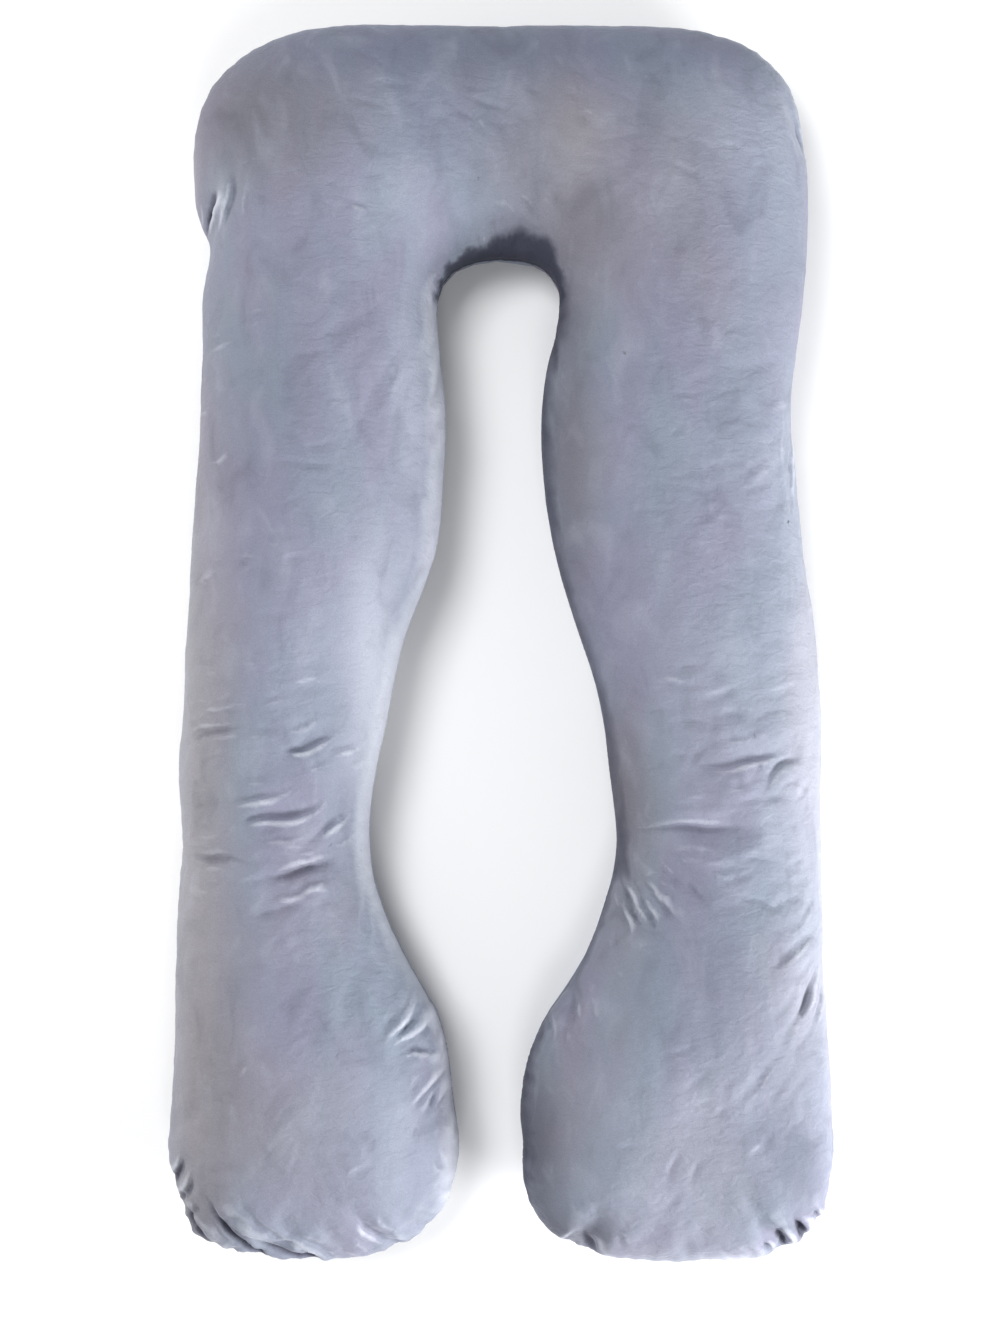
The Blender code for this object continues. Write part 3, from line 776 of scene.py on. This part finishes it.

# Pile tone and painted light and shade, patch by patch.
TONE_AND_LIGHT_PATCHES = [
    Patch(-34.5, -20.0, 4.0, 45.0, 0.10, 0.9),
    Patch(-37.5, -10.0, 2.0, 50.0, 0.42, 0.6),
    Patch(-27.0, 25.0, 7.0, 12.0, -0.15, 0.0),
    Patch(-21.0, 3.0, 6.0, 14.0, 0.20, -0.2),
    Patch(-14.5, -6.0, 3.0, 16.0, 0.90, 0.1),
    Patch(-10.0, 26.0, 2.5, 14.0, 0.45, -0.1),
    Patch(-22.0, -58.0, 9.0, 9.0, 0.15, 0.2),
    Patch(-28.0, 60.0, 9.0, 8.0, -0.50, 0.7),
    Patch(0.0, 68.0, 26.0, 4.0, -0.30, -0.4),
    Patch(-11.0, 50.0, 6.0, 5.0, 0.25, -0.1),
    Patch(10.0, 48.0, 5.0, 6.0, -0.25, 0.5),
    Patch(9.0, 58.0, 4.0, 5.0, 0.15, 0.8),
    Patch(29.0, 58.0, 8.0, 9.0, 0.45, -0.5),
    Patch(8.0, 24.0, 2.5, 20.0, -0.48, 0.5),
    Patch(14.0, -17.0, 3.0, 9.0, -0.50, 0.7),
    Patch(24.0, -8.0, 8.0, 12.0, 0.25, 0.0),
    Patch(35.5, -12.0, 3.2, 30.0, 0.65, 0.0),
    Patch(33.0, 20.0, 3.0, 16.0, 0.20, -0.3),
    Patch(19.0, -57.0, 7.0, 9.0, 0.32, 0.0),
    Patch(4.0, -58.0, 3.0, 10.0, -0.75, 0.4),
    Patch(8.0, -69.0, 5.0, 3.0, -0.50, 0.3),
    Patch(-36.0, -67.0, 4.0, 5.0, -0.25, 0.4),
    Patch(0.0, 60.0, 11.0, 5.0, -0.15, -0.2),
    Patch(-12.0, -60.0, 4.0, 9.0, 0.25, -0.3),
    Patch(-6.0, -57.0, 1.2, 6.0, 0.50, 0.0),
    Patch(34.0, -60.0, 4.0, 8.0, -0.50, 0.0),
    Patch(-33.0, -52.0, 4.0, 12.0, -0.18, 0.2),
    Patch(38.2, -20.0, 1.2, 34.0, 0.70, 0.1),
    Patch(27.6, -71.8, 3.4, 0.9, 1.20, 0.0),
    Patch(-36.6, 54.5, 1.5, 4.5, 0.55, 0.7),
    Patch(-31.9, 50.0, 0.7, 3.5, 0.55, 0.0),
]


def brushed_and_painted_light(points):
    """How much lighter and how much warmer each point is painted, for the pile's tone and for painted light
    and shade.
    """
    lighter, warmer = np.zeros((2, len(points)))
    for patch in TONE_AND_LIGHT_PATCHES:
        across = (points[:, 0] - patch.x * CM) / (patch.reach_x * CM)
        down = (points[:, 1] - patch.y * CM) / (patch.reach_y * CM)
        share = np.exp(-across ** 2 - down ** 2)
        lighter += patch.lighter * share
        warmer += patch.warmer * share
    return lighter, warmer


print("patches", len(TONE_AND_LIGHT_PATCHES))

# %% [markdown]
# Creases are painted darker, as painted shade, and ridges paler, as painted highlight. How far a point
# lies below the mean of its neighbourhood says which it is, and the fold table says where the deep
# creases and their bright streaks are. Both go into the third number, 0 in the deepest crease and 1 on
# the highest ridge. The wall under the arch and the seam's groove get painted shade too. A side that
# is turned to the light gets a painted highlight at its very edge, and one that is turned away gets
# painted shade.

# %% Hollows and ridges
NEIGHBOURHOODS = ((6, 1.0), (24, 0.45))    # rounds of smoothing, and how much each one counts
SPECK = 0.25               # how far a value may differ from its neighbours' mean


def without_specks(values, edges, limit):
    """Values that stand alone among their neighbours, as at an uneven point, take the neighbours' mean."""
    around = 2 * smoothed(values[:, None], edges, 1)[:, 0] - values
    return np.where(np.abs(values - around) > limit, around, values)


edges = edges_of(cover.data)
points = points_of(cover.data)
normals = normals_of(cover.data)
shade_and_highlight = np.zeros(len(points))
for rounds, weight in NEIGHBOURHOODS:
    hollow = ((smoothed(points, edges, rounds) - points) * normals).sum(axis=1)
    shade_and_highlight -= weight * hollow / (hollow.std() * 2.5)
shade_and_highlight = without_specks(np.tanh(1.3 * shade_and_highlight) / 1.3, edges, SPECK)
place, away, above = seam_place(points)
dark, bright = fold_shade_and_highlight(points, above, CREASES + FAINT_CREASES)
print("hollows", int((shade_and_highlight < -0.2).sum()), "points, ridges", int((shade_and_highlight > 0.2).sum()), "points")

# %% Painted shade and highlights: the arch, the rims and all of it together
HOLLOW_SHADE_AND_HIGHLIGHT = 0.30
TROUGH_SHADE = 0.66
STREAK_HIGHLIGHT = 0.90
WALL_SHADE = 1.1
GROOVE_SHADE = 0.35
LEFT_RIM_HIGHLIGHT, RIGHT_RIM_HIGHLIGHT, RIM_SHADE = 0.30, 0.05, 0.42
ARCH_CENTRE = (0.003, 0.395)
ARCH_WALL = 0.026
ARCH_REACH = 0.11
ARCH_WAVE = 0.0022         # the edge of the dark wall follows the gathers


def store(mesh, name, values):
    """Keep one number for each point in the mesh, under the name that the material reads."""
    attribute = mesh.attributes.new(name, "FLOAT", "POINT")
    attribute.data.foreach_set("value", values.astype(np.float32))
    print(name, "from", round(values.min(), 2), "to", round(values.max(), 2))


# Painted shadow on the wall under the arch, dark from the brow down to the seam.
from_arch = points[:, :2] - ARCH_CENTRE
towards_top = from_arch[:, 1] / np.hypot(*from_arch.T)
in_plan = np.sqrt(np.maximum(away ** 2 - above ** 2, 0))
in_plan += ARCH_WAVE * uneven_wave(place, GATHER_PITCH, 4.0)
wall_height = ramp(towards_top, 0.30, 0.95) * (0.15 + 0.85 * ramp(from_arch[:, 0], -0.065, 0.025))
arch_wall_shade = 1 - ramp(in_plan, 0.0, 0.004 + ARCH_WALL * wall_height)
arch_wall_shade = np.sqrt(arch_wall_shade) * ramp(towards_top, -0.1, 0.2)
arch_wall_shade *= (np.hypot(*from_arch.T) < ARCH_REACH) * (above > -0.01)
# Painted shade along the seam's groove.
groove = GROOVE_SHADE * np.exp(-(away / 0.005) ** 2)
# Painted highlight on the sides that face the key light, and painted shade on the right leg's inner side,
# which faces away.
facing = smoothed(normals, edges, 14)[:, 0]
upper = ramp(above, -0.02, 0.0)
lit_rim = ramp(facing, 0.66, 0.92) * upper * np.where(points[:, 0] < 0, LEFT_RIM_HIGHLIGHT, RIGHT_RIM_HIGHLIGHT)
shaded_rim = RIM_SHADE * ramp(-facing, 0.74, 0.96) * upper * (points[:, 0] > 0)
# All the paint together: painted shade in hollows, troughs, the arch wall and the groove, painted highlight
# on ridges and rims.
shade_and_highlight = 0.5 + HOLLOW_SHADE_AND_HIGHLIGHT * shade_and_highlight - TROUGH_SHADE * dark + STREAK_HIGHLIGHT * bright * (1 - 0.9 * dark)
shade_and_highlight += lit_rim - shaded_rim - WALL_SHADE * arch_wall_shade - groove
shade_and_highlight = smoothed(np.clip(shade_and_highlight, 0, 1)[:, None], edges, 1)[:, 0]
lighter, warmer = brushed_and_painted_light(points)
store(cover.data, "painted_shade_and_highlight", shade_and_highlight)
store(cover.data, "pile_tone_and_painted_light", lighter)
store(cover.data, "pile_hue_and_painted_light", warmer)

# %% [markdown]
# The material reads the three numbers. Its colour starts as a slow mottle of lavender, blue-grey and
# warm grey, takes the patches of pile tone and painted light and shade, then soft strokes where the
# pile lies another way, and last the painted highlights on the ridges and the painted shade in the
# troughs. A fine grain, a crumple and fibres break up the light, and a sheen lifts what is seen along
# the pile.

# %% Material helpers
def add_node(tree, kind, **settings):
    node = tree.nodes.new(kind)
    for name, value in settings.items():
        setattr(node, name, value)
    return node


def noise(tree, vector, scale, detail, distortion=0.0):
    node = add_node(tree, "ShaderNodeTexNoise")
    node.inputs["Scale"].default_value = scale
    node.inputs["Detail"].default_value = detail
    node.inputs["Distortion"].default_value = distortion
    tree.links.new(vector, node.inputs["Vector"])
    return node.outputs["Fac"]


def mapped(tree, vector, scale=(1, 1, 1), rotation=(0, 0, 0)):
    node = add_node(tree, "ShaderNodeMapping")
    node.inputs["Scale"].default_value = scale
    node.inputs["Rotation"].default_value = rotation
    tree.links.new(vector, node.inputs["Vector"])
    return node.outputs["Vector"]


def ranged(tree, value, low, high, to_low, to_high):
    node = add_node(tree, "ShaderNodeMapRange")
    for name, number in (("From Min", low), ("From Max", high), ("To Min", to_low), ("To Max", to_high)):
        node.inputs[name].default_value = number
    tree.links.new(value, node.inputs["Value"])
    return node.outputs["Result"]


def mixed(tree, share, first, second):
    """Mix two colours, each a socket or four numbers, by a socket or a number."""
    node = add_node(tree, "ShaderNodeMix", data_type="RGBA")
    for socket, value in ((node.inputs[0], share), (node.inputs[6], first), (node.inputs[7], second)):
        if isinstance(value, bpy.types.NodeSocket):
            tree.links.new(value, socket)
        else:
            socket.default_value = value
    return node.outputs[2]


def bumped(tree, height, strength, distance, below=None):
    node = add_node(tree, "ShaderNodeBump")
    node.inputs["Strength"].default_value = strength
    node.inputs["Distance"].default_value = distance
    tree.links.new(height, node.inputs["Height"])
    if below is not None:
        tree.links.new(below, node.inputs["Normal"])
    return node.outputs["Normal"]


# %% Velvet material
LAVENDER = (0.216, 0.219, 0.292, 1.0)
BLUE_GREY = (0.205, 0.238, 0.296, 1.0)
WARM_GREY = (0.222, 0.216, 0.257, 1.0)
ASH = (0.245, 0.235, 0.248, 1.0)
STEEL_BLUE = (0.190, 0.228, 0.318, 1.0)
DEEP_PILE_AND_SHADE = (0.048, 0.050, 0.075, 1.0)
PALE_PILE_AND_LIGHT = (0.390, 0.410, 0.480, 1.0)
PAINTED_HIGHLIGHT = (0.600, 0.625, 0.700, 1.0)
SHEEN_TINT = (0.86, 0.88, 1.0, 1.0)

velvet = bpy.data.materials.new("grey_blue_velvet")
velvet.use_nodes = True
tree = velvet.node_tree
shader = tree.nodes["Principled BSDF"]
shader.inputs["Roughness"].default_value = 0.88
shader.inputs["Specular IOR Level"].default_value = 0.22
shader.inputs["Sheen Roughness"].default_value = 0.38
shader.inputs["Sheen Tint"].default_value = SHEEN_TINT

where = add_node(tree, "ShaderNodeTexCoord").outputs["Object"]
# The first number is painted shade and highlight; the other two are pile tone with painted light and shade.
pile = add_node(tree, "ShaderNodeAttribute", attribute_name="painted_shade_and_highlight").outputs["Fac"]
lighter = add_node(tree, "ShaderNodeAttribute", attribute_name="pile_tone_and_painted_light").outputs["Fac"]
warmer = add_node(tree, "ShaderNodeAttribute", attribute_name="pile_hue_and_painted_light").outputs["Fac"]

blotches = noise(tree, mapped(tree, where, (1.0, 0.35, 1.0)), 11.0, 3.0, 0.4)
colour = mixed(tree, ranged(tree, blotches, 0.38, 0.62, 0.0, 1.0), LAVENDER, BLUE_GREY)
clouds = noise(tree, mapped(tree, where, (1.0, 0.5, 1.0), (0, 0, 0.2)), 5.0, 2.0)
colour = mixed(tree, ranged(tree, clouds, 0.52, 0.72, 0.0, 0.8), colour, WARM_GREY)
colour = mixed(tree, ranged(tree, warmer, 0.0, 1.0, 0.0, 0.9), colour, ASH)
colour = mixed(tree, ranged(tree, warmer, 0.0, -1.0, 0.0, 0.9), colour, STEEL_BLUE)
colour = mixed(tree, ranged(tree, lighter, 0.0, 1.0, 0.0, 0.9), colour, PALE_PILE_AND_LIGHT)
colour = mixed(tree, ranged(tree, lighter, 0.0, -1.0, 0.0, 0.8), colour, DEEP_PILE_AND_SHADE)

strokes = noise(tree, mapped(tree, where, (1.0, 0.55, 1.0), (0, 0, 0.3)), 26.0, 5.0, 0.6)
stroke_light = ranged(tree, strokes, 0.54, 0.78, 0.0, 0.27)
stroke_dark = ranged(tree, strokes, 0.46, 0.22, 0.0, 0.29)
colour = mixed(tree, stroke_light, colour, PALE_PILE_AND_LIGHT)
colour = mixed(tree, stroke_dark, colour, DEEP_PILE_AND_SHADE)

# Painted highlight on the ridges and painted shade in the troughs.
ridge_highlight = ranged(tree, pile, 0.60, 1.0, 0.0, 0.75)
trough_shade = ranged(tree, pile, 0.46, 0.0, 0.0, 0.96)
colour = mixed(tree, ridge_highlight, colour, PAINTED_HIGHLIGHT)
colour = mixed(tree, trough_shade, colour, DEEP_PILE_AND_SHADE)
grain = ranged(tree, noise(tree, where, 750.0, 2.0), 0.3, 0.7, 0.90, 1.08)
shaded = add_node(tree, "ShaderNodeVectorMath", operation="SCALE")
tree.links.new(colour, shaded.inputs[0])
tree.links.new(grain, shaded.inputs["Scale"])
tree.links.new(shaded.outputs["Vector"], shader.inputs["Base Color"])

crumple = noise(tree, mapped(tree, where, (1.0, 1.7, 1.0), (0, 0, 0.3)), 62.0, 5.0, 0.6)
fibres = noise(tree, mapped(tree, where, (1.0, 2.2, 1.0)), 900.0, 2.0)
normal = bumped(tree, crumple, 0.36, 0.005)
normal = bumped(tree, fibres, 0.25, 0.0006, normal)
tree.links.new(normal, shader.inputs["Normal"])
tree.links.new(ranged(tree, pile, 0.05, 0.45, 0.04, 0.28), shader.inputs["Sheen Weight"])
cover.data.materials.clear()
cover.data.materials.append(velvet)
print("velvet", len(tree.nodes), "nodes")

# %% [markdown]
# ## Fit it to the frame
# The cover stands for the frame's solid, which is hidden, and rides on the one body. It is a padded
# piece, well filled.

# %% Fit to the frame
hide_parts("pillow")
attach(cover, "root")
